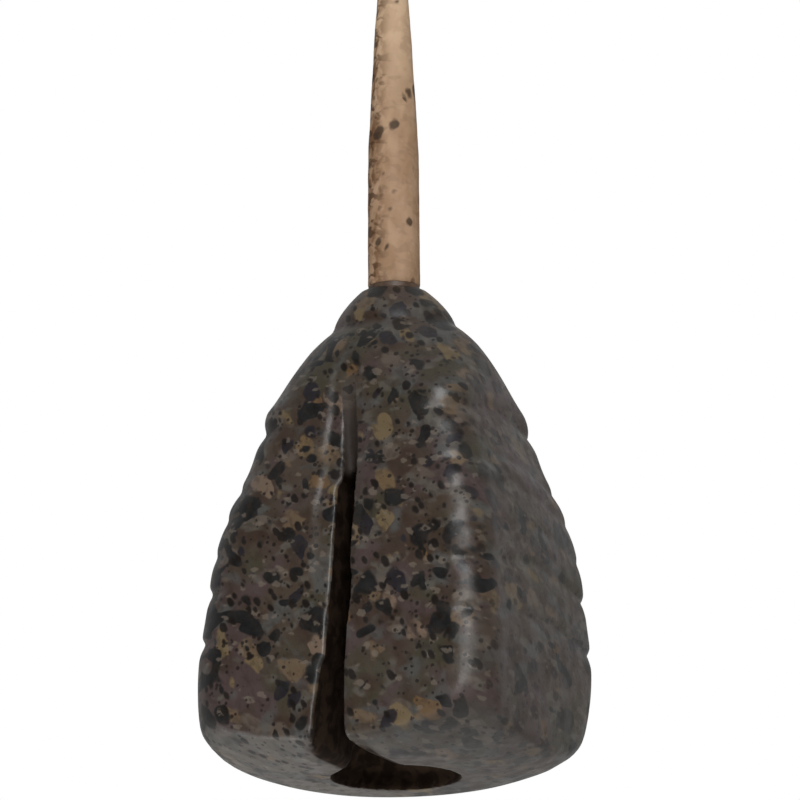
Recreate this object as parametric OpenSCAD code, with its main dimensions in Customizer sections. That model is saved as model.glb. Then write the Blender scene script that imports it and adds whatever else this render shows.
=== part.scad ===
// Slotted inline fishing lead with its tail rubber, stem and seated swivel.
// Millimetres. The lead stands on its foot at z = 0, its nose points up (+Z) and its slot faces -Y.

/* [Lead] */
// Height of the lead from its foot to its nose
lead_h = 37.4; // [35:0.1:41]
// Width across the lead's widest faces
lead_w = 24.4; // [23.6:0.1:27]
// Radius of the upright corners between two faces
corner_r = 3.4; // [2.6:0.1:4.2]
// How far a face bulges at its middle
face_bulge = 0.35; // [0.2:0.05:1]
// Height of the widest ring above the foot
wide_h = 6.2; // [5:0.1:7.5]
// Width across the faces at the height of the foot
base_w = 24; // [22:0.1:24.3]
// Radius of the flat foot
foot_r = 8; // [6.8:0.1:9]
// Radius of the round bowl that trims the lower corners, where it ends
bowl_r = 16.3; // [15.5:0.1:18]
// Height of that bowl
bowl_h = 8; // [6:0.1:10]

/* [Nose] */
// Height of the rounded cap at the nose
cap_h = 3.3; // [2.6:0.1:4]
// Radius of the cap where it meets the body
cap_r = 4.65; // [4.2:0.05:5.2]
// Radius of the flat at the tip of the nose
nose_r = 2.5; // [2.4:0.05:2.9]

/* [Gripper bands] */
// Depth of the step under a main band
band_depth = 0.33; // [0.1:0.01:0.5]
// Height of the rounded shoulder below a step
band_shoulder_h = 1.3; // [0.8:0.1:1.6]
// Height of the tucked-in edge above a step
band_tuck_h = 0.8; // [0.5:0.1:1.1]
// How far the bands arch up over the middle of the two side faces
band_arch = 1.3; // [0:0.1:2]
// Slope of the bands from level, in degrees
band_tilt = 2.5; // [0:0.5:4]

/* [Slot] */
// Width of the slot that the leader leaves through
slot_w = 1.5; // [1.3:0.05:2]
// How far below the tip of the nose the slot starts
slot_top_drop = 7.5; // [6.5:0.1:9]
// Height over which the slot deepens from the face to the passage
slot_ramp_h = 7.5; // [5:0.1:9]
// Width of the slot at the foot
foot_slot_w = 2.4; // [2.1:0.1:2.8]
// Height of the wide slot at the foot
foot_slot_h = 5.6; // [4.5:0.1:7]
// Radius of the rounded corners where the foot slot meets the foot
slot_lip_r = 1.3; // [0.8:0.1:1.6]

/* [Mouth and passage] */
// Radius of the mouth in the foot
mouth_r = 4.8; // [4.3:0.1:5.2]
// Depth of the mouth's straight wall
mouth_wall_h = 1.4; // [1:0.1:2]
// Depth of the mouth's funnel above that wall
mouth_funnel_h = 3.4; // [2.6:0.1:4]
// Radius of the leader's passage through the lead
passage_r = 1; // [0.8:0.05:1.3]

/* [Stem] */
// Radius of the plug in the nose
plug_r = 1.55; // [1.4:0.05:1.7]
// Length of the plug
plug_l = 6.6; // [5:0.1:8]
// Radius of the collar that shows between the lead and the rubber
collar_r = 1.95; // [1.8:0.05:2.2]
// Thickness of the collar
collar_h = 0.45; // [0.35:0.05:0.8]
// Radius of the spigot inside the rubber
spigot_r = 1.1; // [1:0.02:1.2]
// Length of the spigot
spigot_l = 9; // [7:0.2:11]
// Radius of the leader's bore through the stem
stem_bore_r = 0.6; // [0.5:0.05:0.7]
// Length of the bevel at each end of the stem
stem_bevel = 0.4; // [0.2:0.05:0.6]

/* [Tail rubber] */
// Length of the rubber
rubber_l = 27; // [24:0.5:31]
// Radius of the rubber at its lower end
rubber_r = 1.98; // [1.8:0.02:2.1]
// Radius of the rubber at its tip
rubber_tip_r = 1.05; // [1:0.05:1.3]
// Radius of the leader's bore at the tip
rubber_bore_r = 0.6; // [0.45:0.05:0.65]
// Radius of the rounded edges at the rubber's ends
rubber_edge_r = 0.15; // [0.08:0.01:0.25]

/* [Swivel] */
// Radius of the swivel's barrel
barrel_r = 1.8; // [1.7:0.02:1.9]
// Length of the barrel
barrel_l = 5; // [4.4:0.1:5.6]
// Wall of the barrel
barrel_wall = 0.4; // [0.3:0.05:0.5]
// Radius of the rolled ends of the barrel
barrel_end_r = 0.7; // [0.5:0.05:0.9]
// Radius of the groove rolled around the barrel
barrel_groove_r = 0.25; // [0.15:0.05:0.35]
// Radius of the wire of the eyes
wire_r = 0.42; // [0.36:0.02:0.48]
// Radius of an eye, to the middle of its wire
eye_r = 1.3; // [1.2:0.02:1.34]
// Radius of the pin that carries an eye in the barrel
eye_pin_r = 0.6; // [0.5:0.02:0.7]
// Radius of the head that holds the pin in the barrel
eye_head_r = 1.1; // [0.95:0.05:1.2]
// Thickness of that head
eye_head_h = 0.7; // [0.5:0.05:0.9]
// Height of the lower eye above the foot
eye_rise = 1.7; // [1.5:0.1:2.2]

/* [Fits] */
// Radial gap of the plug in the nose and of the barrel in its socket
seat_gap = 0.05; // [0.02:0.01:0.08]
// Radial gap of the pins in the barrel and of the spigot in the rubber
pin_gap = 0.04; // [0.02:0.01:0.08]
// Gap left beyond the end of a seated piece
end_gap = 0.3; // [0.2:0.05:0.5]

/* [Hidden] */
overrun = 1;
weld = 0.05;

// Outline of the flank: height and spread as shares of the way from the widest ring to the cap
flank_shares = [
    [0, 1],
    [0.10, 0.985],
    [0.20, 0.945],
    [0.33, 0.90],
    [0.42, 0.835],
    [0.52, 0.735],
    [0.60, 0.62],
    [0.70, 0.53],
    [0.78, 0.465],
    [0.86, 0.375],
    [0.93, 0.24],
    [0.97, 0.12],
    [1, 0],
];
// The bands' steps: height as a share of the flank, depth as a share of a main band's depth
band_shares = [
    [0.12, 1],
    [0.26, 1],
    [0.36, 0.5],
    [0.46, 0.5],
    [0.54, 1],
    [0.70, 1.4],
];
// Most of a band that its rounded shoulder and its tucked-in edge may take
shoulder_limit_share = 0.6;
tuck_limit_share = 0.35;
// Outline of the bowl: height and spread as shares of the way from the foot to the bowl's rim
bowl_shares = [
    [0, 0],
    [0.03, 0.18],
    [0.09, 0.37],
    [0.155, 0.55],
    [0.25, 0.71],
    [0.32, 0.78],
    [0.39, 0.825],
    [0.48, 0.86],
    [0.60, 0.90],
    [0.78, 0.95],
    [1, 1],
];
// How sharply the bowl and the faces meet, as a power
trim_power = 16;
// The rings of the base crowd together towards the foot
base_power = 1.4;
// The faces fade into the round cap over the top of the flank
round_start_share = 0.76;
// Roundest that a corner gets, as a share of the half width
corner_limit_share = 0.6;
// Shape of the cap, as the power of a quarter curve
cap_power = 1.6;
least_square = 0.02;
// The bands rise towards the back of the right-hand side
band_heading = 26;

face_steps = 5;
corner_steps = 5;
ring_steps = 4 * (face_steps + corner_steps);
base_rings = 11;
tuck_rings = 3;
middle_rings = 2;
shoulder_rings = 4;
cap_rings = 9;

half_w = lead_w / 2;
cap_z = lead_h - cap_h;
flank_h = cap_z - wide_h;
bore_steps = 64;

barrel_z = eye_rise + 2 * eye_r + 2 * wire_r + end_gap;
barrel_top = barrel_z + barrel_l;
socket_r = barrel_r + seat_gap;
socket_top = barrel_top + 2 * eye_r + 2 * wire_r + 3 * end_gap;
nose_socket_r = plug_r + seat_gap;
nose_socket_l = plug_l + end_gap;
rubber_z = lead_h + collar_h;
slot_top = lead_h - slot_top_drop;

// Smooth curve through a table of points
function slope_at(t, k) =
    k == 0 ? 0
    : k == len(t) - 1 ? (t[k][1] - t[k - 1][1]) / (t[k][0] - t[k - 1][0])
    : (t[k + 1][1] - t[k - 1][1]) / (t[k + 1][0] - t[k - 1][0]);
function span_of(t, u, k = 0) = k >= len(t) - 2 || u < t[k + 1][0] ? k : span_of(t, u, k + 1);
function curve_in(t, k, s, w) =
    (2 * s * s * s - 3 * s * s + 1) * t[k][1]
    + (s * s * s - 2 * s * s + s) * w * slope_at(t, k)
    + (3 * s * s - 2 * s * s * s) * t[k + 1][1]
    + (s * s * s - s * s) * w * slope_at(t, k + 1);
function curve(t, u) =
    let (k = span_of(t, u), w = t[k + 1][0] - t[k][0])
    curve_in(t, k, (u - t[k][0]) / w, w);

// Depth at height z of a step whose lowest point is at height at
function step_cut(z, at, depth) =
    let (d = z - at, w = d < 0 ? band_shoulder_h : band_tuck_h, s = min(1, abs(d) / w))
    depth * (1 - s) * (1 - s);
function steps_cut(z, i = 0) =
    i == len(band_shares) ? 0
    : step_cut(z, wide_h + band_shares[i][0] * flank_h, band_shares[i][1] * band_depth)
        + steps_cut(z, i + 1);

function flank_w(z) =
    cap_r + (half_w - cap_r) * curve(flank_shares, (z - wide_h) / flank_h) - steps_cut(z);
function base_half_w(z) =
    let (s = (wide_h - z) / wide_h)
    base_w / 2 + (half_w - base_w / 2) * sqrt(1 - s * s);
function cap_w(z) = nose_r + (cap_r - nose_r) * (1 - pow((z - cap_z) / cap_h, cap_power));
// Half width of the lead at height z
function lead_half_w(z) =
    z < wide_h ? base_half_w(z)
    : z < cap_z ? flank_w(z)
    : cap_w(z);
// 1 where the lead has four faces, 0 where it is round
function squareness(z) =
    max(least_square, min(1, (1 - (z - wide_h) / flank_h) / (1 - round_start_share)));

// Heights of the rings
function evenly(a, b, n) = [for (i = [0:n - 1]) a + (b - a) * i / n];
function band_rings(a, b) =
    let (
        tuck = min(band_tuck_h, tuck_limit_share * (b - a)),
        shoulder = min(band_shoulder_h, shoulder_limit_share * (b - a))
    )
    concat(
        evenly(a, a + tuck, tuck_rings),
        evenly(a + tuck, b - shoulder, middle_rings),
        evenly(b - shoulder, b, shoulder_rings)
    );
band_z = concat([wide_h], [for (s = band_shares) wide_h + s[0] * flank_h], [cap_z]);
ring_z = concat(
    [for (i = [0:base_rings - 1]) wide_h * pow(i / base_rings, base_power)],
    [for (i = [0:len(band_z) - 2]) each band_rings(band_z[i], band_z[i + 1])],
    evenly(cap_z, lead_h, cap_rings),
    [lead_h]
);

// One ring: four convex faces and four rounded corners, all of them circular arcs
function arc_point(centre, r, angle) = centre + r * [cos(angle), sin(angle)];
function turned(p, a) = [p.x * cos(a) - p.y * sin(a), p.x * sin(a) + p.y * cos(a)];
function ring_point(z, i) =
    let (
        h = lead_half_w(z),
        q = squareness(z),
        full_face_r = half_w * half_w / (2 * face_bulge),
        face_r = 1 / ((1 - q) / h + q / full_face_r),
        bend_r = h * (1 - q) + min(corner_r, corner_limit_share * h) * q,
        back = face_r - h,
        reach = face_r - bend_r,
        mid = (sqrt(2 * reach * reach - back * back) - back) / 2,
        swing = atan2(mid, mid + back),
        quarter = floor(i / (face_steps + corner_steps)),
        k = i - quarter * (face_steps + corner_steps),
        p = k < face_steps
            ? arc_point([-back, 0], face_r, swing * (2 * k / face_steps - 1))
            : arc_point([mid, mid], bend_r, swing + (90 - 2 * swing) * (k - face_steps) / corner_steps)
    )
    turned(p, 90 * quarter);
// The bowl trims whatever reaches beyond it, with a soft edge
function bowl_limit(z) = foot_r + (bowl_r - foot_r) * lookup(z / bowl_h, bowl_shares);
function trimmed(p, z) = p / pow(1 + pow(norm(p) / bowl_limit(z), trim_power), 1 / trim_power);
// Bands lean and arch, but the foot and the nose stay level
function lean(p) = tan(band_tilt) * (p.x * cos(band_heading) + p.y * sin(band_heading));
function arch(p) = band_arch * max(0, cos(2 * atan2(p.y, p.x)));
function lead_point(z, i) =
    let (p = trimmed(ring_point(z, i), z))
    [p.x, p.y, z + (lean(p) + arch(p)) * sin(180 * z / lead_h)];

module lead_casting() {
    points = [for (z = ring_z) each [for (i = [0:ring_steps - 1]) lead_point(z, i)]];
    last = (len(ring_z) - 1) * ring_steps;
    sides = [
        for (r = [0:len(ring_z) - 2]) each [
            for (i = [0:ring_steps - 1])
                let (
                    j = (i + 1) % ring_steps,
                    a = r * ring_steps + i,
                    b = r * ring_steps + j,
                    c = a + ring_steps,
                    d = b + ring_steps
                )
                each [[a, c, b], [b, c, d]]
        ]
    ];
    foot = [for (i = [0:ring_steps - 1]) i];
    tip = [for (i = [ring_steps - 1:-1:0]) last + i];
    polyhedron(points = points, faces = concat([foot], sides, [tip]));
}

// A slot from the lead's axis out through its front face, whose top slopes by ramp on the way out
module front_slot(width, bottom, top, ramp) {
    reach = half_w + overrun;
    face = lead_half_w(top);
    translate([-width / 2, 0, 0])
        rotate([90, 0, 90])
            linear_extrude(height = width)
                polygon([
                    [0, bottom],
                    [-reach, bottom],
                    [-reach, top + ramp * (reach - face) / face],
                    [0, top - ramp],
                ]);
}

// Rounds one corner where the foot slot meets the foot
module slot_lip(side) {
    translate([side * foot_slot_w / 2, 0, 0])
        rotate([90, 0, 0])
            linear_extrude(height = half_w + overrun)
                scale([side, 1])
                    difference() {
                        translate([-weld, -overrun])
                            square([slot_lip_r + weld, slot_lip_r + overrun]);
                        translate([slot_lip_r, slot_lip_r])
                            circle(r = slot_lip_r, $fn = bore_steps);
                    }
}

module lead_body() {
    color("#4d443b")
        difference() {
            lead_casting();
            translate([0, 0, -overrun])
                cylinder(r = passage_r, h = lead_h + 2 * overrun, $fn = bore_steps);
            translate([0, 0, lead_h - nose_socket_l])
                cylinder(r = nose_socket_r, h = nose_socket_l + overrun, $fn = bore_steps);
            translate([0, 0, -overrun])
                cylinder(r = socket_r, h = socket_top + overrun, $fn = bore_steps);
            translate([0, 0, -overrun])
                cylinder(r = mouth_r, h = mouth_wall_h + overrun, $fn = bore_steps);
            translate([0, 0, mouth_wall_h])
                cylinder(r1 = mouth_r, r2 = socket_r, h = mouth_funnel_h, $fn = bore_steps);
            front_slot(foot_slot_w, -overrun, foot_slot_h, 0);
            front_slot(slot_w, foot_slot_h - overrun, slot_top, slot_ramp_h);
            slot_lip(1);
            slot_lip(-1);
        }
}

module stem() {
    top = lead_h + collar_h + spigot_l;
    bottom = lead_h - plug_l;
    color("#5a4638")
        rotate_extrude($fn = bore_steps)
            polygon([
                [stem_bore_r, bottom],
                [plug_r - stem_bevel / 2, bottom],
                [plug_r, bottom + stem_bevel],
                [plug_r, lead_h],
                [collar_r, lead_h],
                [collar_r, lead_h + collar_h],
                [spigot_r, lead_h + collar_h],
                [spigot_r, top - stem_bevel],
                [spigot_r - stem_bevel / 2, top],
                [stem_bore_r, top],
            ]);
}

// The rubber's taper: height and slimming as shares of the rubber's own sizes
taper_shares = [
    [0.01, 0],
    [0.25, 0.02],
    [0.40, 0.07],
    [0.51, 0.23],
    [0.58, 0.34],
    [0.65, 0.47],
    [0.76, 0.64],
    [0.83, 0.80],
    [0.92, 0.93],
    [0.99, 1],
];
spigot_room_l = spigot_l + end_gap;

module tail_rubber() {
    taper = [
        for (s = taper_shares)
            [rubber_r + (rubber_tip_r - rubber_r) * s[1], rubber_z + rubber_l * s[0]]
    ];
    top = rubber_z + rubber_l;
    room_r = spigot_r + pin_gap;
    color("#9f8570")
        rotate_extrude($fn = bore_steps)
            polygon(concat(
                [[rubber_r - rubber_edge_r, rubber_z]],
                taper,
                [
                    [rubber_tip_r - rubber_edge_r, top],
                    [rubber_bore_r, top],
                    [rubber_bore_r, rubber_z + spigot_room_l + room_r - rubber_bore_r],
                    [room_r, rubber_z + spigot_room_l],
                    [room_r, rubber_z],
                ]
            ));
}

module swivel_barrel() {
    hole_r = eye_pin_r + pin_gap;
    inner_r = barrel_r - barrel_wall;
    color("#3b3734")
        translate([0, 0, barrel_z])
            rotate_extrude($fn = bore_steps)
                difference() {
                    union() {
                        translate([hole_r, barrel_end_r])
                            square([barrel_r - hole_r, barrel_l - 2 * barrel_end_r]);
                        translate([hole_r, 0])
                            square([barrel_r - barrel_end_r - hole_r, barrel_l]);
                        translate([barrel_r - barrel_end_r, barrel_end_r])
                            circle(r = barrel_end_r, $fn = bore_steps);
                        translate([barrel_r - barrel_end_r, barrel_l - barrel_end_r])
                            circle(r = barrel_end_r, $fn = bore_steps);
                    }
                    translate([0, barrel_wall])
                        square([inner_r, barrel_l - 2 * barrel_wall]);
                    translate([0, -overrun])
                        square([hole_r, barrel_l + 2 * overrun]);
                    for (side = [-1, 1])
                        translate([barrel_r, barrel_l / 2 + side * (barrel_l / 2 - 2 * barrel_end_r)])
                            circle(r = barrel_groove_r, $fn = bore_steps);
                }
}

// An eye with its pin and head. The pin's root is at the origin and the eye is above it
module swivel_eye() {
    rotate([0, 0, 90])
        translate([0, 0, end_gap + wire_r + eye_r])
            rotate([90, 0, 0])
                rotate_extrude($fn = bore_steps)
                    translate([eye_r, 0])
                        circle(r = wire_r, $fn = bore_steps / 2);
    translate([0, 0, -barrel_wall - pin_gap - eye_head_h])
        cylinder(r = eye_head_r, h = eye_head_h, $fn = bore_steps);
    translate([0, 0, -barrel_wall - pin_gap - weld])
        cylinder(r = eye_pin_r, h = barrel_wall + pin_gap + weld + end_gap + wire_r, $fn = bore_steps);
}

module swivel_top_eye() {
    color("#55504b")
        translate([0, 0, barrel_top])
            swivel_eye();
}

module swivel_bottom_eye() {
    color("#55504b")
        translate([0, 0, barrel_z])
            rotate([180, 0, 0])
                swivel_eye();
}

lead_body();
stem();
tail_rubber();
swivel_barrel();
swivel_top_eye();
swivel_bottom_eye();
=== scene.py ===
# %% [markdown]
# # A slotted inline lead, piece by piece
# This lesson dresses a fishing sinker: a coated casting with a slot, a brown stem, a soft tapered
# rubber and a small swivel. The hard model comes from CAD and stays where it is. The casting and
# the rubber get finer pieces in their place, and every surface gets a finish made of shader nodes.

# %% Load the CAD frame
import math

import bpy
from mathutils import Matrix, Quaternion, Vector, noise


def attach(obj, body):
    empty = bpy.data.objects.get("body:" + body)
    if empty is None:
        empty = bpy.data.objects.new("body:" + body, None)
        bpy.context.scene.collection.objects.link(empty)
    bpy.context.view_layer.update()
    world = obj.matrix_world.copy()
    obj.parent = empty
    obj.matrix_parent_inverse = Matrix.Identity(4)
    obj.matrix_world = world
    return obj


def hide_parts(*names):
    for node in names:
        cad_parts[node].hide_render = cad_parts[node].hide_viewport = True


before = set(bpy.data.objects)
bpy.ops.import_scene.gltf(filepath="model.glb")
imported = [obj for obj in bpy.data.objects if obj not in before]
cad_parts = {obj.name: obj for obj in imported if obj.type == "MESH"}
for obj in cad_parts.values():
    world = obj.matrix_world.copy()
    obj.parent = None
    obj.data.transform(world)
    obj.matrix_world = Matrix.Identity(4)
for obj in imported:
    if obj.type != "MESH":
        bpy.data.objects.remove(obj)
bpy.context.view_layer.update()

mm = 0.001

# %% [markdown]
# ## The camera
# The lead hangs in front of the lens, which looks slightly up at it from below and from the right
# of its slot. A long lens some 400 mm away keeps the upright edges nearly parallel. The camera is
# placed from the middle of the foot, which lies close to the lower edge of the picture.

# %% Camera
picture_wide, foot_pixel_x, foot_pixel_y = 800, 396, 778
photo_mm_per_pixel = 0.0742
sensor_wide = 36
camera_turn, camera_rise, camera_far = math.radians(23.5), math.radians(-15), 407 * mm
camera_spin = math.radians(-0.25)
foot_right = (foot_pixel_x - picture_wide / 2) * photo_mm_per_pixel * mm
foot_up = (picture_wide / 2 - foot_pixel_y) * photo_mm_per_pixel * mm
back = Vector((
    math.sin(camera_turn) * math.cos(camera_rise),
    -math.cos(camera_turn) * math.cos(camera_rise),
    math.sin(camera_rise),
))
aim = back.to_track_quat("Z", "Y") @ Quaternion((0, 0, 1), camera_spin)

bpy.ops.object.select_all(action="DESELECT")
bpy.ops.object.camera_add(location=aim @ Vector((-foot_right, -foot_up, camera_far)))
camera = bpy.context.object
camera.name = "camera"
camera.rotation_mode = "QUATERNION"
camera.rotation_quaternion = aim
camera.data.sensor_width = sensor_wide
camera.data.lens = sensor_wide * camera_far / (picture_wide * photo_mm_per_pixel * mm)
camera.data.clip_start, camera.data.clip_end = 0.01, 20
bpy.context.scene.camera = camera
print("lens", round(camera.data.lens, 1), "mm")

# %% [markdown]
# ## Helpers
# An operator acts on everything that is selected, so each step starts by letting go of everything.
# The helpers below do that, apply a modifier, and report a mesh's size.

# %% Helpers
def let_go():
    if bpy.context.object and bpy.context.object.mode != "OBJECT":
        bpy.ops.object.mode_set(mode="OBJECT")
    bpy.ops.object.select_all(action="DESELECT")


def take(piece):
    let_go()
    piece.select_set(True)
    bpy.context.view_layer.objects.active = piece


def finish_with(piece, kind, **settings):
    take(piece)
    modifier = piece.modifiers.new(kind.lower(), kind)
    for key, value in settings.items():
        setattr(modifier, key, value)
    bpy.ops.object.modifier_apply(modifier=modifier.name)


def report(piece):
    size = [round(side / mm, 2) for side in piece.dimensions]
    print(piece.name, "faces", len(piece.data.polygons), "size in mm", size)


# %% [markdown]
# ## The casting's outline
# The lead is a four-sided pear. Its half width follows a given curve from the widest ring to
# the round cap, and shallow steps run round it like the edges of shingles. The curve is written as
# shares, so that it reads the same way as a maker's template. A step has its share of the flank's
# height, its strength, and how far it tucks in above its edge.

# %% Sizes of the casting
lead_high, half_wide, base_half = 37.4, 12.2, 12.0
cap_high, cap_radius, nose_radius, cap_power = 3.3, 4.65, 2.5, 1.6
wide_at = 6.2
flank_high = lead_high - cap_high - wide_at
flank_curve = [
    (0, 1), (0.10, 0.985), (0.20, 0.945), (0.33, 0.90), (0.42, 0.835), (0.52, 0.735), (0.60, 0.62),
    (0.70, 0.53), (0.78, 0.465), (0.86, 0.375), (0.93, 0.24), (0.97, 0.12), (1, 0),
]
steps = [
    (0.12, 1, 0.55), (0.26, 1, 0.55), (0.36, 0.5, 0.75), (0.46, 0.5, 0.75), (0.54, 0.75, 0.9),
    (0.70, 1.15, 1.2),
]
step_deep, shoulder_high = 0.33, 1.5
print("the casting is", lead_high, "mm high and its flank", round(flank_high, 2), "mm")


# %% Outline of the casting
def smooth_curve(table, u):
    """The height at u of a soft curve through the points of the table."""
    k = max(i for i, (x, _) in enumerate(table[:-1]) if x <= max(u, 0))

    def slope(i):
        if i == 0:
            return 0
        a, b = table[i - 1], table[min(i + 1, len(table) - 1)]
        return (b[1] - a[1]) / (b[0] - a[0])

    (x0, y0), (x1, y1) = table[k], table[k + 1]
    w = x1 - x0
    s = (u - x0) / w
    return (
        (2 * s**3 - 3 * s**2 + 1) * y0 + (s**3 - 2 * s**2 + s) * w * slope(k)
        + (3 * s**2 - 2 * s**3) * y1 + (s**3 - s**2) * w * slope(k + 1)
    )


def half_width(z):
    if z < wide_at:
        s = (wide_at - z) / wide_at
        return base_half + (half_wide - base_half) * math.sqrt(max(0, 1 - s * s))
    if z < lead_high - cap_high:
        share = (z - wide_at) / flank_high
        return cap_radius + (half_wide - cap_radius) * smooth_curve(flank_curve, share)
    s = min(1, (z - lead_high + cap_high) / cap_high)
    return nose_radius + (cap_radius - nose_radius) * (1 - s**cap_power)


def step_cut(z):
    cut = 0
    if z < lead_high - cap_high:
        for share, strength, tuck in steps:
            d = z - (wide_at + share * flank_high)
            s = min(1, abs(d) / (shoulder_high if d < 0 else tuck))
            cut += strength * step_deep * (1 - s) ** 2
    return cut


print("half width at the middle:", round(half_width(lead_high / 2), 2), "mm")

# %% [markdown]
# Each ring of the casting has four slightly bulged faces and four rounded corners. Towards the nose
# the faces fade into a circle. The steps hardly show on the slotted face and are plain everywhere
# else. A round bowl trims the lower corners, so the foot is a circle although the body is square.
# The bowl sits a little off the axis, so the front corners keep more metal than the back ones. The
# corner to the right of the slot is the sharpest.

# %% Sizes of one ring
corner_radius, corner_share, face_bulge = 3.4, 0.6, 0.35
round_from, least_square = 0.76, 0.02
foot_radius, bowl_radius, bowl_high, trim_power = 8, 16.3, 8, 40
bowl_x, bowl_y = 0.1, -0.9
bowl_curve = [
    (0, 0), (0.03, 0.18), (0.09, 0.37), (0.155, 0.55), (0.25, 0.71), (0.32, 0.78), (0.39, 0.825),
    (0.48, 0.86), (0.60, 0.90), (0.78, 0.95), (1, 1), (1.4, 1.15),
]
bowl_curve_end = 1.4
slot_turn, calm_turns, fade_turns, calm_strength = 3.25, 0.24, 0.22, 0.05
sharp_angle, sharp_wide, sharp_pull = -45, 16, 0.03
keep_wide, keep_from, keep_share = 30, 1.2, 0.015
print("the bowl's middle is", round(math.hypot(bowl_x, bowl_y), 2), "mm off the axis")


# %% One ring of the casting
def soft_step(value):
    s = min(1, max(0, value))
    return s * s * (3 - 2 * s)


def bowl_limit(z):
    u = min(bowl_curve_end, z / bowl_high)
    (x0, y0), (x1, y1) = next((a, b) for a, b in zip(bowl_curve, bowl_curve[1:]) if u <= b[0])
    return foot_radius + (bowl_radius - foot_radius) * (y0 + (y1 - y0) * (u - x0) / (x1 - x0))


def step_strength(turn):
    """The steps are weak within calm_turns of the middle of the slotted face."""
    away = abs((turn - slot_turn + 2) % 4 - 2)
    return calm_strength + (1 - calm_strength) * soft_step((away - calm_turns) / fade_turns)


def ring_point(z, turn):
    """turn runs from 0 to 4 round the ring: a face, then a corner, four times."""
    h = half_width(z) - step_cut(z) * step_strength(turn)
    square = (1 - (z - wide_at) / flank_high) / (1 - round_from)
    q = max(least_square, min(1, square))
    face_r = 1 / ((1 - q) / h + q * 2 * face_bulge / half_wide**2)
    bend_r = h * (1 - q) + min(corner_radius, corner_share * h) * q
    inset, reach = face_r - h, face_r - bend_r
    mid = (math.sqrt(2 * reach**2 - inset**2) - inset) / 2
    swing = math.atan2(mid, mid + inset)
    quarter, k = divmod(turn, 1)
    if k < 0.5:
        t = 4 * k - 1
        a = swing * t * (0.4 + 0.6 * t * t)
        x, y = face_r * math.cos(a) - inset, face_r * math.sin(a)
    else:
        a = swing + (math.pi / 2 - 2 * swing) * (2 * k - 1)
        x, y = mid + bend_r * math.cos(a), mid + bend_r * math.sin(a)
    c, s = [(1, 0), (0, 1), (-1, 0), (0, -1)][int(quarter) % 4]
    x, y = x * c - y * s, x * s + y * c
    from_corner = abs(math.degrees(math.atan2(y, x)) - sharp_angle)
    sharp = q * soft_step(1 - from_corner / sharp_wide)
    x, y = x * (1 + sharp_pull * sharp), y * (1 + sharp_pull * sharp)
    kept = keep_share * soft_step(keep_from - from_corner / keep_wide)
    off = math.hypot(x - bowl_x, y - bowl_y) * (1 - kept)
    trim = (1 + (off / bowl_limit(z)) ** trim_power) ** (-1 / trim_power)
    return trim * x, trim * y


# %% [markdown]
# The steps lean a little, and they arch up over the middle of the two side faces. The body is bowed:
# half way up, its middle stands a quarter of a millimetre off the axis. Beside the slot the face is
# sunk by as much. The left edge of the sunk panel runs straight, and the right edge leans over to
# the left above the slot.

# %% Any point of the casting
panel_deep, panel_front = 0.27, -3
panel_left, panel_fade_left, panel_right, panel_fade_right = -2.05, 0.35, 1.7, 0.2
panel_low, panel_fade_low, panel_high, panel_fade_high = 9, 10, 30.8, 1.2
panel_lean, panel_lean_from = 0.121, 20.5
lean_heading, lean_angle, arch_high = math.radians(26), math.radians(2.5), 1.3
bow_x, bow_y = 0.25, 0.1


def sunk_panel(x, y, z):
    if y > panel_front:
        return 0
    right_edge = panel_right - panel_lean * max(0, z - panel_lean_from)
    across = soft_step((x - panel_left) / panel_fade_left)
    across *= soft_step((right_edge - x) / panel_fade_right)
    along = soft_step((panel_high - z) / panel_fade_high)
    along *= soft_step((z - panel_low) / panel_fade_low)
    return panel_deep * across * along


def casting_point(z, turn):
    x, y = ring_point(z, turn)
    lean = math.tan(lean_angle) * (x * math.cos(lean_heading) + y * math.sin(lean_heading))
    arch = arch_high * max(0, math.cos(2 * math.atan2(y, x)))
    wave = math.sin(math.pi * z / lead_high)
    return (
        x + bow_x * wave,
        y + bow_y * wave + sunk_panel(x, y, z),
        z + (lean + arch) * wave,
    )


print("a point of the side face:", [round(c, 2) for c in casting_point(lead_high / 2, 0.25)])

# %% [markdown]
# ## The casting
# A filled circle is extruded upwards ring by ring, which makes a stack of thin slices. Then each
# ring is drawn out to its place on the outline. A few bold extrudes would be quicker, but many thin
# rings let the steps keep their shape when the surface is remeshed later.

# %% Extrude the casting ring by ring
around, levels = 208, 230
let_go()
bpy.ops.mesh.primitive_circle_add(
    vertices=around, radius=10 * mm, fill_type="NGON", location=(0, 0, 0))
casting = bpy.context.object
casting.name = "casting"
bpy.ops.object.mode_set(mode="EDIT")
bpy.ops.mesh.select_all(action="SELECT")
for level in range(levels):
    bpy.ops.mesh.extrude_region_move(
        TRANSFORM_OT_translate={"value": (0, 0, lead_high * mm / levels)})
bpy.ops.object.mode_set(mode="OBJECT")
for v in casting.data.vertices:
    level = round(v.co.z / mm / lead_high * levels)
    z = min(lead_high, max(0, level * lead_high / levels))
    turn = round(math.atan2(v.co.y, v.co.x) / math.tau * around) % around * 4 / around
    v.co = Vector(casting_point(z, turn)) * mm
report(casting)

# %% [markdown]
# ## Cutting the mouth and the sockets
# Each cutter is a solid of its own and is taken away with a Boolean modifier. The mouth, the
# swivel's socket and the nose socket are turned shapes, so one profile is drawn as a chain of
# vertices, each extruded from the last, and spun round the lead's axis.

# %% Draw a chain and spin it
weld_within = 0.0004 * mm


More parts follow.
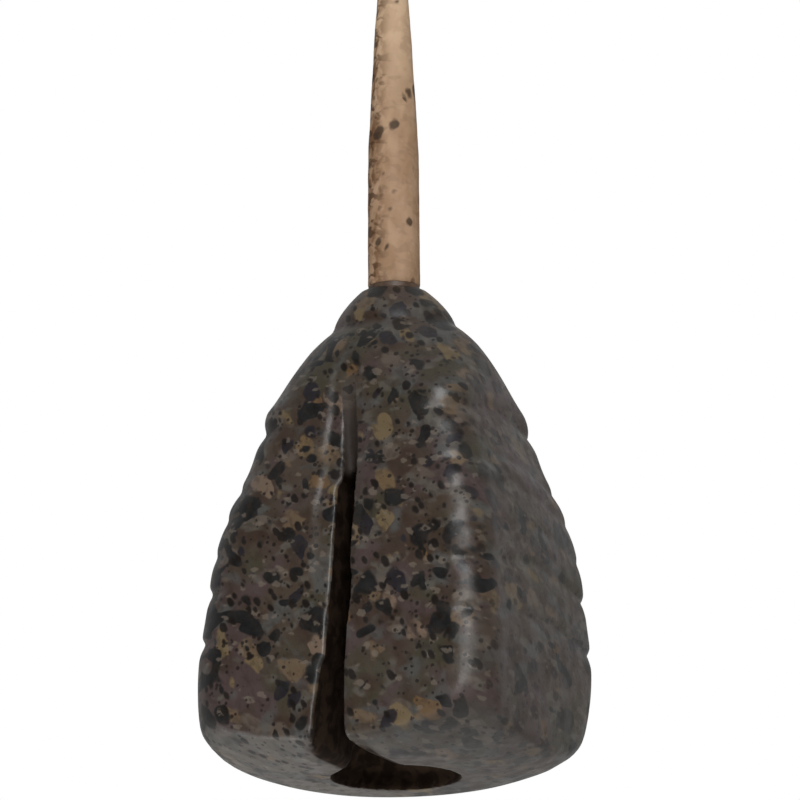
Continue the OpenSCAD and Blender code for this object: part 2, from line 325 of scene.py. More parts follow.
def chain(name, points):
    """Vertices joined by edges through the points, given in mm."""
    places = [Vector(p) * mm for p in points]
    let_go()
    bpy.ops.mesh.primitive_plane_add(size=mm, location=(0, 0, 0))
    piece = bpy.context.object
    piece.name = name
    bpy.ops.object.mode_set(mode="EDIT")
    bpy.ops.mesh.select_all(action="SELECT")
    bpy.ops.mesh.merge(type="CENTER")
    bpy.ops.transform.translate(value=places[0])
    for a, b in zip(places, places[1:]):
        bpy.ops.mesh.extrude_region_move(TRANSFORM_OT_translate={"value": b - a})
    bpy.ops.mesh.select_all(action="SELECT")
    return piece


def close_up():
    bpy.ops.mesh.select_all(action="SELECT")
    bpy.ops.mesh.remove_doubles(threshold=weld_within)
    bpy.ops.mesh.normals_make_consistent(inside=False)
    bpy.ops.object.mode_set(mode="OBJECT")


def spun(name, profile, turns):
    """A closed turned solid from a profile of (radius, height) in mm."""
    piece = chain(name, [(r, 0, z) for r, z in profile])
    bpy.ops.mesh.spin(steps=turns, angle=math.tau, center=(0, 0, 0), axis=(0, 0, 1))
    close_up()
    return piece


def cut_away(piece, cutter):
    finish_with(piece, "BOOLEAN", operation="DIFFERENCE", object=cutter, solver="EXACT")
    bpy.data.objects.remove(cutter, do_unlink=True)


# %% Cut the mouth and the sockets
mouth_r, mouth_high = 4.8, 1.4
barrel_r, barrel_low, barrel_high = 1.85, 4.8, 14.8
passage_r, passage_low, passage_high = 1, 14.9, 30.4
plug_r, plug_low = 1.6, 30.5
cutter_low, cutter_high = -1, 38.5
mouth = spun("mouth", [
    (0, cutter_low), (mouth_r, cutter_low), (mouth_r, mouth_high),
    (barrel_r, barrel_low), (barrel_r, barrel_high),
    (passage_r, passage_low), (passage_r, passage_high),
    (plug_r, plug_low), (plug_r, cutter_high), (0, cutter_high),
], turns=72)
report(mouth)
cut_away(casting, mouth)
report(casting)

# %% [markdown]
# ## Cutting the slot
# The slot is no straight saw cut: it is cast, it wanders by half a millimetre, and it opens out
# where it meets the foot. Its outline is drawn on the axis, as heights with a left and a right
# edge, and pushed out through the front face. It ends above the middle of the lead, under a
# slanted roof.

# %% Push a flat outline out through the front
slot_out = half_wide + 1


def pushed_out(name, left_edge, right_edge, inner):
    """A flat shape between two edges of (x, z), pushed out from y = inner through the front."""
    outline = right_edge + left_edge[::-1]
    piece = chain(name, [(x, inner, z) for x, z in outline + outline[:1]])
    bpy.ops.mesh.remove_doubles(threshold=weld_within)
    bpy.ops.mesh.edge_face_add()
    bpy.ops.mesh.extrude_region_move(
        TRANSFORM_OT_translate={"value": (0, -(slot_out + inner) * mm, 0)})
    close_up()
    return piece


# %% Cut the slot
slot_edges = [
    (3.5, -1.15, 1.12), (5.2, -0.88, 1.13), (6.2, -0.72, 1.14), (6.9, -0.38, 1.16),
    (9.4, -0.26, 1.35), (11.5, -0.2, 1.42), (12.6, -0.14, 1.42), (14.9, -0.1, 1.2),
    (18.8, -0.22, 1.15), (20.1, -0.33, 1.15), (20.6, 0.05, 1.05),
]
lip_radius, lip_left, lip_right, lip_steps = 1.3, 1.42, 1.14, 6
roof_low, roof_high, roof_left, roof_right = 20.9, 21.8, 0.05, 0.95
near_roof, slot_inner = 0.3, 0.2


def round_lip(sign, reach):
    """The slot's rounded edge at the foot, from below the casting up to its narrow part."""
    points = [(sign * (reach + lip_radius), cutter_low)]
    for step in range(lip_steps + 1):
        a = step * math.pi / (2 * lip_steps)
        x = reach + lip_radius - lip_radius * math.sin(a)
        points.append((sign * x, lip_radius - lip_radius * math.cos(a)))
    return points


left_wall = [(left, z) for z, left, _ in slot_edges] + [(roof_left, roof_high)]
right_wall = [(right, z) for z, _, right in slot_edges] + [(roof_right, roof_high)]
slot = pushed_out(
    "slot", round_lip(-1, lip_left) + left_wall, round_lip(1, lip_right) + right_wall, slot_inner)
for v in slot.data.vertices:
    if v.co.z > (roof_high - near_roof) * mm and v.co.y > -mm:
        v.co.z = roof_low * mm
report(slot)
cut_away(casting, slot)
report(casting)

# %% [markdown]
# Above the slot its line goes on as a shallow groove, which gets narrower and shallower and leans
# to the left. A hairline joint runs beside it on the right, so that a thin rib is left between
# them. Both are pushed out in the same way, and then their inner ends are bent to follow the face
# at the wanted depth.

# %% Cut the groove and the hairline
def edge(table, heights, aside=0):
    """Points of (x, z) along an edge that is given as a table of (height, x)."""
    return [(smooth_curve(table, z) + aside, z) for z in heights]


def sunk_cut(name, left_edge, right_edge, depths):
    piece = pushed_out(name, left_edge, right_edge, 0)
    for v in piece.data.vertices:
        z = v.co.z / mm
        if v.co.y > -mm:
            v.co.y = -(half_width(z) - smooth_curve(depths, z)) * mm
    report(piece)
    cut_away(casting, piece)


groove_heights = [19.4, 20.6, 22, 23.8, 25.4, 26.8, 28.2, 29.5]
groove_left = [(0, 0.06), (20.6, 0.06), (23.9, -0.36), (26.9, -0.64), (29.5, -0.95), (31, -1.05)]
groove_right = [(0, 0.97), (20.6, 0.97), (23.7, 0.72), (26.7, 0.44), (29.3, 0.16), (31, 0.02)]
groove_depths = [(0, 1.5), (20, 1.4), (24, 1.0), (27, 0.65), (29.5, 0.4), (31, 0.35)]
hairline, hairline_half = [(0, 1.6), (21.1, 1.55), (25.2, 1.04), (29.1, 0.62), (31, 0.5)], 0.15
hairline_depths = [(0, 0.7), (20, 0.7), (31, 0.6)]
sunk_cut("groove", edge(groove_left, groove_heights), edge(groove_right, groove_heights),
         groove_depths)
sunk_cut("hairline", edge(hairline, groove_heights, -hairline_half),
         edge(hairline, groove_heights, hairline_half), hairline_depths)
report(casting)

# %% [markdown]
# A casting has no sharp edge anywhere, and its coating rounds it further. A voxel remesh turns the
# cut shape into one even skin, and a light smoothing then rounds every edge by a fraction of a
# millimetre. A bevel would be the usual way, but it fails where so many small faces meet.

# %% Round every edge
voxel = 0.23
finish_with(casting, "REMESH", mode="VOXEL", voxel_size=voxel * mm, use_smooth_shade=True)
finish_with(casting, "SMOOTH", factor=0.5, iterations=2)
take(casting)
bpy.ops.object.shade_smooth()
report(casting)
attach(casting, "lead")
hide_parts("lead_body")

# %% [markdown]
# ## The tail rubber
# The rubber is a soft sleeve, thick where it grips the stem and thin where the line leaves it. Its
# profile is spun like the mouth's cutter, with both lips rounded and the bore open from end to end.
# Rubber is never quite round or straight, so the finished sleeve is pushed about by a few
# hundredths of a millimetre.

# %% Profile of the rubber
rubber_low, rubber_long, rubber_r, tip_r = 37.85, 27, 1.98, 1.05
bore_r, bore_mouth_r, bore_low, grip_r, grip_high = 0.6, 0.62, 9.9, 1.14, 9.3
rubber_rings = 60
taper_curve = [
    (0, 0), (0.25, 0.02), (0.40, 0.07), (0.51, 0.23), (0.58, 0.34), (0.65, 0.47), (0.76, 0.64),
    (0.83, 0.80), (0.92, 0.93), (1, 1),
]


def rubber_width(share):
    return rubber_r + (tip_r - rubber_r) * smooth_curve(taper_curve, share)


low_lip = [(rubber_r - 0.16, 0), (rubber_r - 0.05, 0.04), (rubber_r, 0.16)]
flank = [(rubber_width(i / rubber_rings), rubber_long * i / rubber_rings)
         for i in range(1, rubber_rings)]
high_lip = [(tip_r - 0.01, rubber_long - 0.14), (tip_r - 0.05, rubber_long - 0.04),
            (tip_r - 0.14, rubber_long)]
bore = [(bore_mouth_r, rubber_long), (bore_r, rubber_long - 0.1), (bore_r, bore_low),
        (grip_r, grip_high), (grip_r, 0)]
loop = [(r, z + rubber_low) for r, z in low_lip + flank + high_lip + bore]
print("the rubber's profile has", len(loop), "points")

# %% Rubber sleeve
rubber = spun("rubber_sleeve", loop + loop[:1], turns=64)
skin_r, thin_from, thin_skin_r = 1.2, 12, 0.7
slow_bump, slow_size, quick_bump, quick_size = 0.03, 1.6, 0.015, 0.6
for v in rubber.data.vertices:
    r = math.hypot(v.co.x, v.co.y)
    thin = v.co.z > (rubber_low + thin_from) * mm
    if r > skin_r * mm or (thin and r > thin_skin_r * mm):
        bump = slow_bump * noise.noise(v.co / (slow_size * mm))
        bump += quick_bump * noise.noise(v.co / (quick_size * mm))
        v.co.x *= 1 + bump * mm / r
        v.co.y *= 1 + bump * mm / r
take(rubber)
bpy.ops.object.shade_smooth_by_angle(angle=math.radians(40))
report(rubber)
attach(rubber, "rubber")
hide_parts("tail_rubber")

# %% [markdown]
# ## Helpers for finishes
# A finish is a tree of nodes. The helpers add a node with its settings and its inputs, do sums,
# multiply masks, lay one colour over another through a mask, and open a node group with named
# sockets.

# %% Node helpers
def ink(code):
    """A colour from a paint chip's code, made linear for the shader."""
    parts = [int(code[i:i + 2], 16) / 255 for i in (0, 2, 4)]
    return tuple(p / 12.92 if p <= 0.04045 else ((p + 0.055) / 1.055) ** 2.4 for p in parts) + (1,)


def put(tree, kind, inputs=(), **settings):
    """A new node. Each input is a number, a colour or the socket that feeds it."""
    node = tree.nodes.new("ShaderNode" + kind)
    for key, value in settings.items():
        setattr(node, key, value)
    for key, value in dict(inputs).items():
        if isinstance(value, bpy.types.NodeSocket):
            tree.links.new(value, node.inputs[key])
        else:
            node.inputs[key].default_value = value
    return node


def sums(tree, operation, a, b=0.0):
    return put(tree, "Math", {0: a, 1: b}, operation=operation).outputs[0]


def times(tree, *values):
    """The product of several masks or numbers: it shows only where all of them show."""
    product = values[0]
    for value in values[1:]:
        product = sums(tree, "MULTIPLY", product, value)
    return product


def moved(tree, operation, a, b):
    return put(tree, "VectorMath", {0: a, 1: b}, operation=operation).outputs[0]


def ramp(tree, value, start, end, low=0.0, high=1.0):
    """low up to start and high from end on, with a soft turn in between."""
    inputs = {"Value": value, "From Min": start, "From Max": end, "To Min": low, "To Max": high}
    return put(tree, "MapRange", inputs, interpolation_type="SMOOTHSTEP").outputs[0]


def fade(tree, value, start, end, full=1.0):
    """full up to start and nothing from end on."""
    return ramp(tree, value, start, end, full, 0.0)


def laid_over(tree, mask, below, above):
    return put(tree, "Mix", {0: mask, 6: below, 7: above}, data_type="RGBA").outputs[2]


# %% Group helpers
def new_group(name, inputs, outputs):
    """A node group. An input is named with its default: None for a vector, or else a number."""
    tree = bpy.data.node_groups.new(name, "ShaderNodeTree")
    for key, value in inputs.items():
        kind = "NodeSocketVector" if value is None else "NodeSocketFloat"
        socket = tree.interface.new_socket(key, in_out="INPUT", socket_type=kind)
        if value is not None:
            socket.default_value = value
    for key in outputs:
        tree.interface.new_socket(key, in_out="OUTPUT", socket_type="NodeSocketFloat")
    return tree, tree.nodes.new("NodeGroupInput").outputs, tree.nodes.new("NodeGroupOutput")


def hand_out(tree, group_output, **values):
    for key, value in values.items():
        tree.links.new(value, group_output.inputs[key])
    print("group", tree.name, "has", len(tree.nodes), "nodes")


def use(tree, group, **inputs):
    return put(tree, "Group", inputs, node_tree=group).outputs


# %% [markdown]
# ## Three effects as node groups
# The coat is flicked on in several colours, so it is made of spots and of soft patches. Both read a
# position in millimetres. A spot comes from a Voronoi cell: its colour output gives each spot its
# own size, its own tone and a throw of the dice for whether it is there at all. A slow noise thins
# the spots out in some places and crowds them in others.

# %% Spots
spots, given, result = new_group("spots", {
    "Position": None, "Spacing": 2.0, "Smallest": 0.1, "Largest": 0.4, "Share": 0.5,
    "Softness": 0.05, "Wander": 0.3,
}, ("Mask", "Tone"))
place = moved(spots, "DIVIDE", given["Position"], given["Spacing"])
drift = put(spots, "TexNoise", {"Vector": place, "Scale": 1.3, "Detail": 2.0})
drift = moved(spots, "SUBTRACT", drift.outputs["Color"], (0.5, 0.5, 0.5))
drift = moved(spots, "MULTIPLY", drift, given["Wander"])
cell = put(spots, "TexVoronoi", {"Vector": moved(spots, "ADD", place, drift), "Scale": 1.0})
dice = put(spots, "SeparateColor", {0: cell.outputs["Color"]}).outputs
crowd = put(spots, "TexNoise", {
    "Vector": cell.outputs["Position"], "Scale": 0.4, "Detail": 0.0}).outputs[0]
chance = times(spots, given["Share"], ramp(spots, crowd, 0.3, 0.7, low=0.35, high=1.65))
there = sums(spots, "LESS_THAN", dice[1], chance)
radius = put(spots, "MapRange", {
    "Value": dice[0], "To Min": given["Smallest"], "To Max": given["Largest"]}).outputs[0]
inner = sums(spots, "SUBTRACT", radius, given["Softness"])
outer = sums(spots, "ADD", radius, given["Softness"])
disc = fade(spots, cell.outputs["Distance"], inner, outer)
hand_out(spots, result, Mask=times(spots, disc, there), Tone=dice[2])

# %% Patches
patches, given, result = new_group("patches", {
    "Position": None, "Size": 3.0, "Level": 0.55, "Softness": 0.03, "Detail": 2.0,
}, ("Mask",))
place = moved(patches, "DIVIDE", given["Position"], given["Size"])
cloud = put(patches, "TexNoise", {
    "Vector": place, "Scale": 1.0, "Detail": given["Detail"], "Distortion": 0.4}).outputs[0]
start = sums(patches, "SUBTRACT", given["Level"], given["Softness"])
end = sums(patches, "ADD", given["Level"], given["Softness"])
hand_out(patches, result, Mask=ramp(patches, cloud, start, end))

# %% [markdown]
# The third group is the skin's own unevenness. It gives a height for a Bump node and a value that
# makes the gloss come and go. A painted casting, moulded plastic, steel and rubber all use it, each
# at its own scale.

# %% Skin
skin, given, result = new_group("skin", {
    "Position": None, "Coarse": 1.5, "Fine": 0.2, "Fine Share": 0.3,
}, ("Height", "Gloss"))


def grain(size, detail):
    place = moved(skin, "DIVIDE", given["Position"], given[size])
    return put(skin, "TexNoise", {"Vector": place, "Scale": 1.0, "Detail": detail}).outputs[0]


coarse, fine = grain("Coarse", 2.0), grain("Fine", 3.0)
height = sums(skin, "ADD", coarse, times(skin, fine, given["Fine Share"]))
hand_out(skin, result, Height=height, Gloss=ramp(skin, height, 0.4, 0.9))

# %% [markdown]
# ## Starting a finish
# Every finish reads its place on the piece from the Object coordinates, so a pattern moves with its
# piece and never slides over it. They are in metres, and a pattern is easier to judge in
# millimetres, so they are scaled once at the start. A Mapping node turns and stretches a pattern.

# %% Start a material
def new_material(name):
    """A material with its shader and the position in millimetres."""
    material = bpy.data.materials.new(name)
    material.use_nodes = True
    tree = material.node_tree
    metres = put(tree, "TexCoord").outputs["Object"]
    position = put(tree, "VectorMath", {0: metres, "Scale": 1 / mm}, operation="SCALE").outputs[0]
    return material, tree, tree.nodes["Principled BSDF"], position


def turned(tree, position, angles, stretch):
    """A place for a pattern that is turned by degrees and drawn out into slanted ovals."""
    angles = [math.radians(a) for a in angles]
    return put(tree, "Mapping", {"Vector": position, "Rotation": angles, "Scale": stretch},
               vector_type="TEXTURE").outputs[0]


def aside(tree, place, x, y, z):
    """The same pattern space, moved on, so that two layers never repeat each other."""
    return moved(tree, "ADD", place, (x, y, z))


def bumped(tree, shader, height, depth):
    bump = put(tree, "Bump", {"Height": height, "Strength": 1.0, "Distance": depth * mm})
    tree.links.new(bump.outputs[0], shader.inputs["Normal"])


def dress(piece, material):
    piece.data.materials.clear()
    piece.data.materials.append(material)
    print(piece.name, "wears", material.name, "with", len(material.node_tree.nodes), "nodes")


# %% [markdown]
# ## The camouflage coat
# From the metal outwards: a taupe ground that drifts to green and to purple, pale blurred patches,
# tan and ochre blots, dark ovals, and a fine black spatter over everything. The colours are laid
# over one another in that order. On the face to the right of the slot the spots are fainter, as
# painted sheen: that face shows the coat's hazy reflection. The Normal output tells which face a
# point is on. Ovals come from turned and stretched places, because the real marks are drawn out
# and slanted.

# %% Ground and patches
coat, tree, shader, position = new_material("camouflage_coat")
x, y, z = put(tree, "SeparateXYZ", {0: position}).outputs[:]
normal = put(tree, "TexCoord").outputs["Normal"]
nx, ny, nz = put(tree, "SeparateXYZ", {0: normal}).outputs[:]
# On the face to the right of the slot the spots are faded, as painted sheen.
spot_fade_for_sheen = ramp(tree, nx, 0.5, 0.9, low=1.0, high=0.65)
wide = turned(tree, position, (0, 0, 0), (1, 1.7, 1))
slanted = turned(tree, position, (0, -33, 0), (1, 1.8, 1.6))
leaning = turned(tree, position, (8, 30, 0), (1, 1.8, 1.5))
level_ovals = turned(tree, position, (0, 14, 0), (1.5, 2, 1))
taupe, green, plum, umber, grey, pale = "43382f", "3b362a", "443735", "392c23", "4a4a48", "56514a"


def patch_layer(colour, tint, place, size, level, softness, detail=1.0, strength=1.0):
    mask = use(
        tree, patches, Position=place, Size=size, Level=level, Softness=softness, Detail=detail)
    return laid_over(tree, times(tree, mask["Mask"], strength), colour, ink(tint))


colour = patch_layer(ink(taupe), green, wide, 5.0, 0.5, 0.12)
colour = patch_layer(colour, plum, aside(tree, wide, 31, 17, 5), 4.2, 0.55, 0.1)
colour = patch_layer(colour, umber, aside(tree, wide, 3, 11, 37), 3.4, 0.58, 0.1)
colour = patch_layer(colour, grey, aside(tree, wide, 7, 43, 19), 2.5, 0.6, 0.07,
                     detail=1.5, strength=0.8)
colour = patch_layer(colour, pale, aside(tree, level_ovals, 3, 9, 61), 1.5, 0.62, 0.05,
                     detail=1.5, strength=0.7)
print("the ground has", len(tree.nodes), "nodes")

# %% [markdown]
# The ovals are thrown on next: pale ones, ochre ones, tan ones, dark ones in two slants, and a few
# large black ones. Real paint varies from mark to mark, so a layer may have more than one tint, and
# each spot picks one by its tone.

# %% Ovals
def spot_layer(colour, tint, place, strength, more_tints=(), **settings):
    """Spots over the colour. Each of more_tints is (from tone, to tone, tint)."""
    thrown = use(tree, spots, Position=place, **settings)
    tint = ink(tint)
    for start, end, other in more_tints:
        tint = laid_over(tree, ramp(tree, thrown["Tone"], start, end), tint, ink(other))
    return laid_over(tree, times(tree, spot_fade_for_sheen, strength, thrown["Mask"]), colour, tint)


pale_oval, ochre, sand, rose, tan_oval = "5a5047", "5f4931", "66573f", "6b5a4c", "5f4f3d"
charcoal, black_plum, black = "121211", "1d1a1f", "131313"
colour = spot_layer(
    colour, pale_oval, aside(tree, level_ovals, 12, 4, 3), 0.7,
    Spacing=1.9, Smallest=0.12, Largest=0.4, Share=0.45, Softness=0.08, Wander=0.9)
colour = spot_layer(
    colour, ochre, aside(tree, slanted, 21, 33, 8), 0.9, [(0.2, 0.28, sand), (0.62, 0.7, rose)],
    Spacing=2.1, Smallest=0.14, Largest=0.44, Share=0.5, Softness=0.04, Wander=0.8)
colour = spot_layer(
    colour, tan_oval, aside(tree, level_ovals, 44, 15, 30), 0.85,
    Spacing=2.2, Smallest=0.15, Largest=0.42, Share=0.45, Softness=0.05, Wander=0.9)
for place, spacing, share in ((slanted, 1.6, 0.5), (aside(tree, leaning, 14, 71, 6), 1.45, 0.4)):
    colour = spot_layer(
        colour, charcoal, place, 0.96, [(0.55, 0.65, black_plum)],
        Spacing=spacing, Smallest=0.12, Largest=0.46, Share=share, Softness=0.045, Wander=0.6)
colour = spot_layer(
    colour, black, aside(tree, wide, 33, 8, 70), 0.97,
    Spacing=3.3, Smallest=0.2, Largest=0.4, Share=0.3, Softness=0.03, Wander=0.5)
print("with its ovals the coat has", len(tree.nodes), "nodes")

# %% [markdown]
# Towards the left edge of the slotted face the dark paint has run together into larger blots, so
# their level falls in that direction. Over them lies a fine brown mottle with pale specks, which
# keeps the large marks from looking flat.

# %% Blots, mottle and pale specks
blot_black, mottle_brown, speck_pale = "141414", "2b221b", "6a6056"
blot_level = ramp(tree, x, -8.5, -4.5, low=0.57, high=0.67)
colour = patch_layer(
    colour, blot_black, aside(tree, level_ovals, 50, 2, 27), 1.9, blot_level, 0.015)
colour = patch_layer(colour, mottle_brown, aside(tree, slanted, 61, 5, 9), 0.55, 0.57, 0.1,
                     detail=2.0, strength=0.4)
colour = spot_layer(
    colour, speck_pale, aside(tree, level_ovals, 2, 90, 17), 0.55,
    Spacing=0.7, Smallest=0.12, Largest=0.4, Share=0.4, Softness=0.08, Wander=0.9)
print("with its specks the coat has", len(tree.nodes), "nodes")

# %% [markdown]
# Where the surface looks down, the foot is painted pale in patches on the left, as a painted
# reflection of the light from below on that side, and darker brown on the right, as painted shade.
# The normal's height tells where the surface looks down, so no outline has to be drawn. The black
# spatter is laid over both.

# %% Painted reflection and shade on the foot, then the spatter
pale_reflection_grey, foot_shade_brown, spatter_black, dust_black = "6b6761", "221e1a", "120c08", "150e0a"
under = fade(tree, nz, -0.8, -0.4)
# A pale painted reflection on the lower left of the foot, broken into patches.
pale_reflection_mask = use(tree, patches, Position=aside(tree, wide, 70, 3, 12), Size=2.2, Level=0.45,
             Softness=0.15, Detail=2.0)["Mask"]
pale_reflection_mask = times(tree, under, fade(tree, x, -5.0, 1.0, full=0.5), pale_reflection_mask)
colour = laid_over(tree, pale_reflection_mask, colour, ink(pale_reflection_grey))
# Painted shade on the lower right of the foot.
foot_shade_mask = times(tree, under, ramp(tree, x, -1.0, 5.0, high=0.4))
colour = laid_over(tree, foot_shade_mask, colour, ink(foot_shade_brown))
colour = spot_layer(
    colour, spatter_black, aside(tree, slanted, 5, 77, 41), 0.95,
    Spacing=0.8, Smallest=0.14, Largest=0.42, Share=0.7, Softness=0.08, Wander=0.3)
colour = spot_layer(
    colour, dust_black, aside(tree, wide, 9, 2, 14), 0.85,
    Spacing=0.42, Smallest=0.15, Largest=0.44, Share=0.42, Softness=0.1, Wander=0.2)
print("with its spatter the coat has", len(tree.nodes), "nodes")

# %% [markdown]
# The slot's walls and the mouth hardly get any coat, so there the dark metal shows through, cloudy
# with rust, and it is painted darker still as painted shade deep inside them. The normal tells a
# wall of the slot from the face beside it, and the distance from the axis tells the mouth from the
# foot round it. The shallow groove above the slot is painted dark brown as painted shade, most of it
# at the lower end, where the groove is deepest.

# %% Bare metal and painted shade in the slot and the mouth
dark_metal_and_shade, metal_rusty, groove_shade_brown = "2a211b", "40332a", "21170f"
near_slot = times(tree, fade(tree, sums(tree, "ABSOLUTE", x), 2.2, 2.6), fade(tree, y, -1.0, -0.5),
                  fade(tree, z, 20.8, 21.6))
wall = times(tree, near_slot, ramp(tree, ny, -0.4, -0.1))
flat_place = put(tree, "CombineXYZ", {"X": x, "Y": y}).outputs[0]
off_axis = put(tree, "VectorMath", {0: flat_place}, operation="LENGTH").outputs["Value"]
in_mouth = times(tree, fade(tree, off_axis, 4.85, 5.0), ramp(tree, nz, -0.9, -0.7),
                 fade(tree, z, 22.0, 23.0))
bare_and_shaded = sums(tree, "MAXIMUM", wall, in_mouth)
rust = use(tree, patches, Position=position, Size=1.2, Level=0.5, Softness=0.1, Detail=3.0)["Mask"]
# The dark metal is darker than its own colour, as painted shade deep in the slot and the mouth.
bare_and_shade_tint = laid_over(tree, rust, ink(dark_metal_and_shade), ink(metal_rusty))
colour = laid_over(tree, bare_and_shaded, colour, bare_and_shade_tint)
tree.links.new(bare_and_shaded, shader.inputs["Metallic"])

# %% Painted shade in the groove
groove_middle = ramp(tree, z, 20.5, 29.5, low=0.52, high=-0.38)
off_line = sums(tree, "ABSOLUTE", sums(tree, "SUBTRACT", x, groove_middle))
in_groove = times(tree, fade(tree, off_line, 0.5, 0.62), fade(tree, y, -3.5, -3.0),
                  fade(tree, z, 29.3, 29.6), ramp(tree, z, 19.0, 20.0))
# Dark brown as painted shade, strongest at the lower end, where the groove is deepest.
brown = times(tree, in_groove, ramp(tree, z, 24.5, 28.5, low=0.95, high=0.25))
colour = laid_over(tree, brown, colour, ink(groove_shade_brown))
tree.links.new(colour, shader.inputs["Base Color"])
print("the coat's colour takes", len(tree.nodes), "nodes")

# %% Sheen of the coat
coat_skin = use(tree, skin, Position=position, Coarse=1.3, Fine=0.16)
gloss = ramp(tree, coat_skin["Gloss"], 0.0, 1.0, low=0.34, high=0.48)
dull = sums(tree, "MAXIMUM", times(tree, bare_and_shaded, 0.8), times(tree, in_groove, 0.75))
tree.links.new(sums(tree, "MAXIMUM", gloss, dull), shader.inputs["Roughness"])
shader.inputs["Specular IOR Level"].default_value = 0.45
bumped(tree, shader, coat_skin["Height"], depth=0.03)
dress(casting, coat)

# %% [markdown]
# ## The rubber's finish
# Tan rubber is matt and slightly cloudy. Silt has stained it brown down one side, in a film and in
# short dark dashes, and a few flecks of the dark spatter have landed on it. The clouds, the film and
# the flecks are drawn out along the sleeve, and the dashes across it.

# %% Tan rubber
tan, tree, shader, position = new_material("tan_rubber")
tan_warm, tan_shade, tan_light = "ac8e73", "9b7d61", "c6a98b"
tall = turned(tree, position, (0, 0, 0), (1, 1, 2.2))
x, _, z = put(tree, "SeparateXYZ", {0: position}).outputs[:]
cloudy = use(tree, patches, Position=tall, Size=1.4, Level=0.5, Softness=0.2)["Mask"]
colour = laid_over(tree, cloudy, ink(tan_warm), ink(tan_shade))
colour = laid_over(tree, ramp(tree, z, 47, 62), colour, ink(tan_light))
print("the clean rubber has", len(tree.nodes), "nodes")

# %% Silt stains and flecks
film_brown, dash_brown, fleck_dark = "6b4b30", "4a311d", "382a20"
left_side = ramp(tree, x, 0.6, -1.3)


def mostly_left(mask, most, everywhere):
    """The mask, strong on the sleeve's left side and weak on the rest."""
    return times(tree, mask, sums(tree, "ADD", times(tree, left_side, most), everywhere))


film_place = aside(tree, turned(tree, position, (0, 15, 0), (1, 1, 1.6)), 8, 3, 0)
film = use(tree, patches, Position=film_place, Size=1.0, Level=0.5, Softness=0.1, Detail=3.0)
colour = laid_over(tree, mostly_left(film["Mask"], 0.85, 0.15), colour, ink(film_brown))
dash_place = aside(tree, turned(tree, position, (0, 12, 0), (1.7, 1.7, 1)), 1, 44, 9)
dashes = use(tree, patches, Position=dash_place, Size=0.55, Level=0.56, Softness=0.07, Detail=1.5)
colour = laid_over(tree, mostly_left(dashes["Mask"], 0.75, 0.14), colour, ink(dash_brown))
fleck_place = turned(tree, position, (0, 20, 0), (1, 1, 1.3))
fleck = use(tree, spots, Position=fleck_place, Spacing=1.25, Smallest=0.1, Largest=0.4, Share=0.45,
            Softness=0.08, Wander=0.5)
colour = laid_over(tree, times(tree, fleck["Mask"], 0.85), colour, ink(fleck_dark))
tree.links.new(colour, shader.inputs["Base Color"])
print("the stained rubber has", len(tree.nodes), "nodes")

# %% Matt skin of the rubber
rubber_skin = use(tree, skin, Position=position, Coarse=0.9, Fine=0.12)
roughness = ramp(tree, rubber_skin["Gloss"], 0.0, 1.0, low=0.62, high=0.8)
tree.links.new(roughness, shader.inputs["Roughness"])
shader.inputs["Specular IOR Level"].default_value = 0.25
bumped(tree, shader, rubber_skin["Height"], depth=0.03)
dress(rubber, tan)

# %% [markdown]
# ## Stem and swivel
# These keep their CAD shapes. The stem is brown moulded plastic with a cloudy surface. The swivel's
# steel is plated almost black, and the plating has rubbed through in small worn places.

# %% Stem plastic
plastic, tree, shader, position = new_material("stem_plastic_brown")
stem_dark, stem_light = "4d3b30", "5c4839"
clouds = use(tree, patches, Position=position, Size=0.9, Level=0.5, Softness=0.15)["Mask"]
tree.links.new(laid_over(tree, clouds, ink(stem_dark), ink(stem_light)),
               shader.inputs["Base Color"])
plastic_skin = use(tree, skin, Position=position, Coarse=0.8, Fine=0.1)
roughness = ramp(tree, plastic_skin["Gloss"], 0.0, 1.0, low=0.4, high=0.6)
tree.links.new(roughness, shader.inputs["Roughness"])
bumped(tree, shader, plastic_skin["Height"], depth=0.012)
dress(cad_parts["stem"], plastic)

# %% Dark steel
steel, tree, shader, position = new_material("dark_plated_steel")
plating_dark, steel_bright = "3f3c3a", "8a857e"
worn = use(tree, patches, Position=position, Size=0.5, Level=0.6, Softness=0.05, Detail=3.0)["Mask"]
tree.links.new(laid_over(tree, worn, ink(plating_dark), ink(steel_bright)),
               shader.inputs["Base Color"])
tree.links.new(ramp(tree, worn, 0.0, 1.0, low=0.38, high=0.28), shader.inputs["Roughness"])
shader.inputs["Metallic"].default_value = 1.0
steel_skin = use(tree, skin, Position=position, Coarse=0.6, Fine=0.08)
bumped(tree, shader, steel_skin["Height"], depth=0.01)
for name in ("swivel_barrel", "swivel_top_eye", "swivel_bottom_eye"):
    dress(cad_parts[name], steel)

# %% [markdown]
# ## The studio
# The floor is pale and lies well below the lead, because the lead hangs. A tall soft box stands
# near the lens, a little to its right and above it, and a second one stands behind the lead. A wide
# lamp close above the floor shines down on it, so the floor is bright and the lead's foot picks up
# a pale sheen from below, and a weak lamp low on the left lifts that side of the foot.

# %% Floor
floor_wide, floor_high = 12, -0.6
floor_white, floor_grey = "e8e7e5", "e4e3e1"
let_go()
bpy.ops.mesh.primitive_plane_add(size=floor_wide, location=(0, 0, floor_high))
floor = bpy.context.object
floor.name = "studio_floor"
paint, tree, shader, position = new_material("floor_paint")
drifts = use(tree, patches, Position=position, Size=90.0, Level=0.5, Softness=0.2)["Mask"]
tree.links.new(laid_over(tree, drifts, ink(floor_white), ink(floor_grey)),
               shader.inputs["Base Color"])
shader.inputs["Roughness"].default_value = 0.85
dress(floor, paint)

# %% Lights
lit_middle = Vector((0, 0, 0.02))


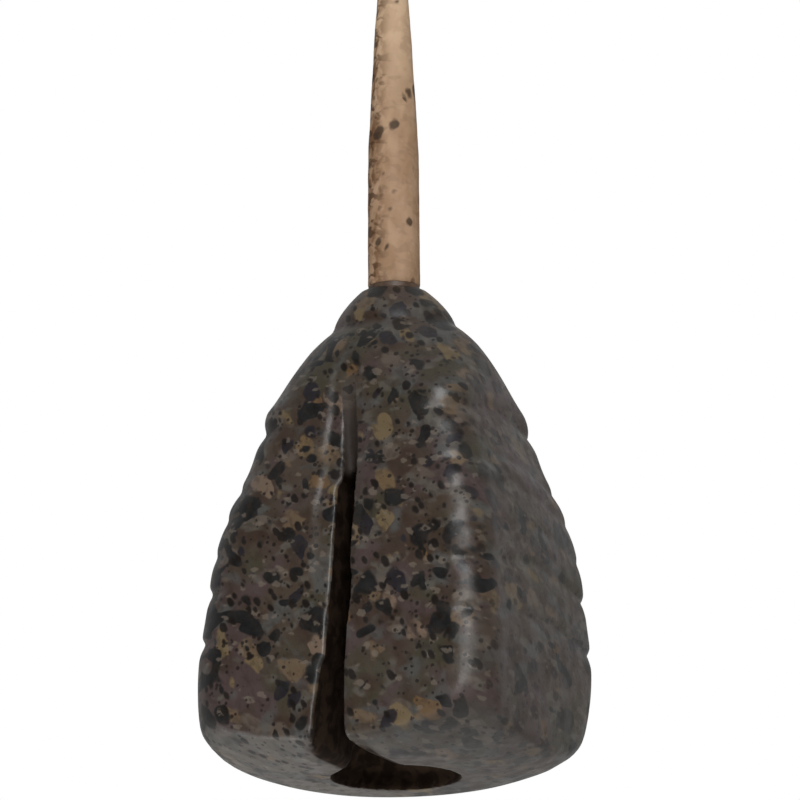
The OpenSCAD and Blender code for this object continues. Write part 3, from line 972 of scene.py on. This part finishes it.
def soft_box(name, turn, rise, far, size, power):
    """A square lamp that looks at the lead's middle, from a turn and a rise in degrees."""
    a, e = math.radians(turn), math.radians(rise)
    away = Vector((math.sin(a) * math.cos(e), -math.cos(a) * math.cos(e), math.sin(e)))
    let_go()
    bpy.ops.object.light_add(type="AREA", location=away * far + lit_middle)
    light = bpy.context.object
    light.name = name
    light.data.shape = "SQUARE"
    light.data.size = size
    light.data.energy = power
    light.rotation_mode = "QUATERNION"
    light.rotation_quaternion = away.to_track_quat("Z", "Y")
    print(name, "gives", power, "watts")
    return light


key = soft_box("key_light", turn=32, rise=24, far=0.75, size=0.3, power=5.6)
key.data.shape = "RECTANGLE"
key.data.size_y = 0.85
back_light = soft_box("back_light", turn=205, rise=30, far=0.9, size=0.6, power=5)
back_light.visible_glossy = False
wash = soft_box("floor_wash", turn=0, rise=90, far=0.3, size=10, power=130)
wash.location = (-0.6, 0.4, -0.35)
wash.visible_camera = False
fill = soft_box("low_fill", turn=-60, rise=-38, far=0.7, size=0.4, power=1.5)
fill.visible_camera = False

# %% [markdown]
# The backdrop is white to the lens. The lead's glossy coat mirrors it too, brighter behind the lead
# than on the lens side, where the room is dark. As a light of its own the backdrop stays weak, so
# the soft boxes shape the lead.

# %% White backdrop
mirrored_near, mirrored_far, own_light = 0.03, 0.4, 0.06
world = bpy.data.worlds.new("studio")
bpy.context.scene.world = world
world.use_nodes = True
room = world.node_tree
backdrop = room.nodes["Background"]
ray = put(room, "LightPath").outputs
direction = put(room, "TexCoord").outputs["Generated"]
behind = put(room, "VectorMath", {0: direction, 1: -back}, operation="DOT_PRODUCT").outputs["Value"]
mirrored = times(room, ramp(room, behind, -0.5, 0.75, low=mirrored_near, high=mirrored_far),
                 ray["Is Glossy Ray"])
seen = sums(room, "MAXIMUM", ray["Is Camera Ray"], own_light)
room.links.new(sums(room, "MAXIMUM", mirrored, seen), backdrop.inputs["Strength"])
backdrop.inputs["Color"].default_value = (1, 1, 1, 1)
bpy.context.scene.view_settings.view_transform = "Standard"
print("the backdrop has", len(room.nodes), "nodes")
